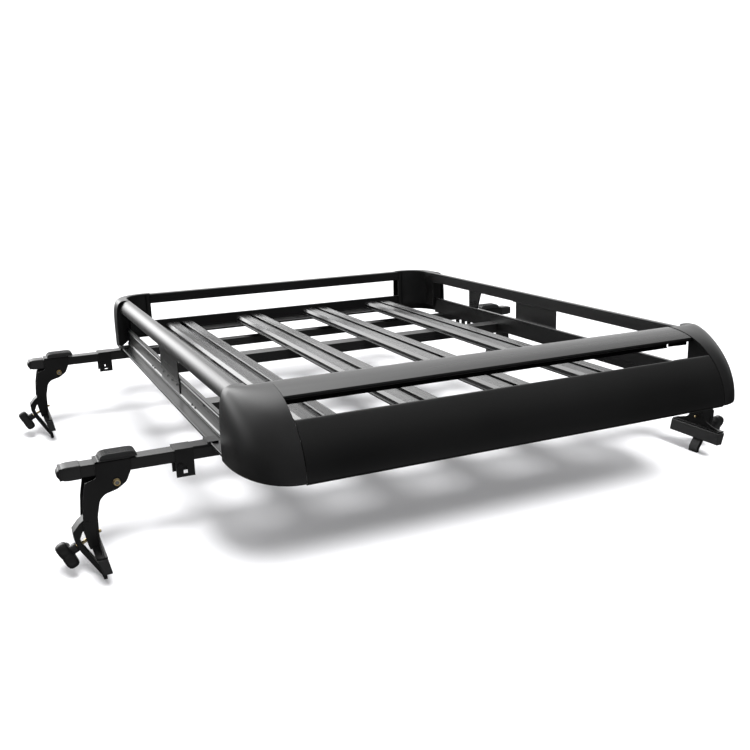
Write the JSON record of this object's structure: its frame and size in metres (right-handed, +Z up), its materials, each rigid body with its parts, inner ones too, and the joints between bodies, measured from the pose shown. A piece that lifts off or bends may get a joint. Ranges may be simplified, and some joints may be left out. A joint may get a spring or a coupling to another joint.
{
  "type": "roof cargo basket",
  "caption": "Low roof cargo basket with a rounded wind fairing and T-slot slats, on crossbars with gutter feet that slide in and clamp by hand knobs.",
  "frame": {"origin": "centre of the footprint, at the height of the four clamp jaw tips", "axes": "+X across the vehicle, to the right as seen from in front of the wind fairing, +Y towards the rear, +Z up"},
  "size_m": [1.4304, 1.273, 0.317],
  "materials": {
    "extrusion": "satin black",
    "fairing_paint": "satin black",
    "slat_extrusion": "satin black anodised",
    "corner_plastic": "moulded, satin",
    "small_screws": "black oxide",
    "crossbar_paint": "satin black",
    "end_cap_plastic": "moulded",
    "pressed_steel": "satin black powder coat",
    "pad_rubber": "matte",
    "zinc": "yellow zinc plate",
    "knob_plastic": "moulded"
  },
  "bodies": {
    "basket": {"top_rail_front": "extrusion", "top_rail_rear": "extrusion", "lower_rail_front": "extrusion", "lower_rail_rear": "extrusion", "window_post": "extrusion", "top_rail_left": "extrusion", "top_rail_right": "extrusion", "lower_rail_left": "extrusion", "lower_rail_right": "extrusion", "side_plate_left": "extrusion", "side_plate_right": "extrusion", "cross_member_front": "extrusion", "cross_member_rear": "extrusion", "wind_fairing": "fairing_paint", "slat_1": "slat_extrusion", "slat_2": "slat_extrusion", "slat_3": "slat_extrusion", "slat_4": "slat_extrusion", "corner_front_left": "corner_plastic", "corner_front_right": "corner_plastic", "corner_rear_left": "corner_plastic", "corner_rear_right": "corner_plastic", "side_fasteners": "small_screws", "slat_screws": "small_screws", "crossbar_front": "crossbar_paint", "crossbar_rear": "crossbar_paint", "end_caps_front": "end_cap_plastic", "end_caps_rear": "end_cap_plastic", "saddles_front": "pressed_steel", "saddles_rear": "pressed_steel", "saddle_bolts_front": "zinc", "saddle_bolts_rear": "zinc"},
    "leg_front_left": {"leg_front_left": "pressed_steel", "leg_pad_front_left": "pad_rubber", "leg_fasteners_front_left": "zinc", "foot_rubber_front_left": "pad_rubber"},
    "jaw_front_left": {"jaw_front_left": "pressed_steel"},
    "clamp_bolt_front_left": {"clamp_bolt_front_left": "zinc"},
    "knob_front_left": {"knob_front_left": "knob_plastic"},
    "leg_front_right": {"leg_front_right": "pressed_steel", "leg_pad_front_right": "pad_rubber", "leg_fasteners_front_right": "zinc", "foot_rubber_front_right": "pad_rubber"},
    "jaw_front_right": {"jaw_front_right": "pressed_steel"},
    "clamp_bolt_front_right": {"clamp_bolt_front_right": "zinc"},
    "knob_front_right": {"knob_front_right": "knob_plastic"},
    "leg_rear_left": {"leg_rear_left": "pressed_steel", "leg_pad_rear_left": "pad_rubber", "leg_fasteners_rear_left": "zinc", "foot_rubber_rear_left": "pad_rubber"},
    "jaw_rear_left": {"jaw_rear_left": "pressed_steel"},
    "clamp_bolt_rear_left": {"clamp_bolt_rear_left": "zinc"},
    "knob_rear_left": {"knob_rear_left": "knob_plastic"},
    "leg_rear_right": {"leg_rear_right": "pressed_steel", "leg_pad_rear_right": "pad_rubber", "leg_fasteners_rear_right": "zinc", "foot_rubber_rear_right": "pad_rubber"},
    "jaw_rear_right": {"jaw_rear_right": "pressed_steel"},
    "clamp_bolt_rear_right": {"clamp_bolt_rear_right": "zinc"},
    "knob_rear_right": {"knob_rear_right": "knob_plastic"}
  },
  "joints": [
    {"name": "leg_slide_front_left", "type": "slide", "parent": "basket", "child": "leg_front_left", "axis": [1, 0, 0], "range_m": [0, 0.068]},
    {"name": "clamp_bolt_advance_front_left", "type": "slide", "parent": "leg_front_left", "child": "clamp_bolt_front_left", "axis": [-0.8904, 0, -0.4552], "range_m": [0, 0.009]},
    {"name": "knob_turn_front_left", "type": "hinge", "parent": "clamp_bolt_front_left", "child": "knob_front_left", "pos_m": [-0.67, -0.3685, 0.06], "axis": [-0.8904, 0, -0.4552], "range_deg": [0, 3240]},
    {"name": "jaw_swing_front_left", "type": "hinge", "parent": "leg_front_left", "child": "jaw_front_left", "pos_m": [-0.651, -0.3685, 0.103], "axis": [0, 1, 0], "range_deg": [0, 12]},
    {"name": "leg_slide_front_right", "type": "slide", "parent": "basket", "child": "leg_front_right", "axis": [-1, 0, 0], "range_m": [0, 0.012]},
    {"name": "clamp_bolt_advance_front_right", "type": "slide", "parent": "leg_front_right", "child": "clamp_bolt_front_right", "axis": [0.8904, 0, -0.4552], "range_m": [0, 0.009]},
    {"name": "knob_turn_front_right", "type": "hinge", "parent": "clamp_bolt_front_right", "child": "knob_front_right", "pos_m": [0.652, -0.3685, 0.06], "axis": [0.8904, 0, -0.4552], "range_deg": [0, 3240]},
    {"name": "jaw_swing_front_right", "type": "hinge", "parent": "leg_front_right", "child": "jaw_front_right", "pos_m": [0.633, -0.3685, 0.103], "axis": [0, -1, 0], "range_deg": [0, 12]},
    {"name": "leg_slide_rear_left", "type": "slide", "parent": "basket", "child": "leg_rear_left", "axis": [1, 0, 0], "range_m": [0, 0.069]},
    {"name": "clamp_bolt_advance_rear_left", "type": "slide", "parent": "leg_rear_left", "child": "clamp_bolt_rear_left", "axis": [-0.8904, 0, -0.4552], "range_m": [0, 0.009]},
    {"name": "knob_turn_rear_left", "type": "hinge", "parent": "clamp_bolt_rear_left", "child": "knob_rear_left", "pos_m": [-0.671, 0.4755, 0.06], "axis": [-0.8904, 0, -0.4552], "range_deg": [0, 3240]},
    {"name": "jaw_swing_rear_left", "type": "hinge", "parent": "leg_rear_left", "child": "jaw_rear_left", "pos_m": [-0.652, 0.4755, 0.103], "axis": [0, 1, 0], "range_deg": [0, 12]},
    {"name": "leg_slide_rear_right", "type": "slide", "parent": "basket", "child": "leg_rear_right", "axis": [-1, 0, 0], "range_m": [0, 0.049]},
    {"name": "clamp_bolt_advance_rear_right", "type": "slide", "parent": "leg_rear_right", "child": "clamp_bolt_rear_right", "axis": [0.8904, 0, -0.4552], "range_m": [0, 0.009]},
    {"name": "knob_turn_rear_right", "type": "hinge", "parent": "clamp_bolt_rear_right", "child": "knob_rear_right", "pos_m": [0.689, 0.4755, 0.06], "axis": [0.8904, 0, -0.4552], "range_deg": [0, 3240]},
    {"name": "jaw_swing_rear_right", "type": "hinge", "parent": "leg_rear_right", "child": "jaw_rear_right", "pos_m": [0.67, 0.4755, 0.103], "axis": [0, -1, 0], "range_deg": [0, 12]}
  ],
  "couplings": [
    {"joint": "clamp_bolt_advance_front_left", "follows": "knob_turn_front_left", "m_per_rad": 0.00015915},
    {"joint": "jaw_swing_front_left", "follows": "knob_turn_front_left", "ratio": 0.0037037},
    {"joint": "clamp_bolt_advance_front_right", "follows": "knob_turn_front_right", "m_per_rad": 0.00015915},
    {"joint": "jaw_swing_front_right", "follows": "knob_turn_front_right", "ratio": 0.0037037},
    {"joint": "clamp_bolt_advance_rear_left", "follows": "knob_turn_rear_left", "m_per_rad": 0.00015915},
    {"joint": "jaw_swing_rear_left", "follows": "knob_turn_rear_left", "ratio": 0.0037037},
    {"joint": "clamp_bolt_advance_rear_right", "follows": "knob_turn_rear_right", "m_per_rad": 0.00015915},
    {"joint": "jaw_swing_rear_right", "follows": "knob_turn_rear_right", "ratio": 0.0037037}
  ]
}
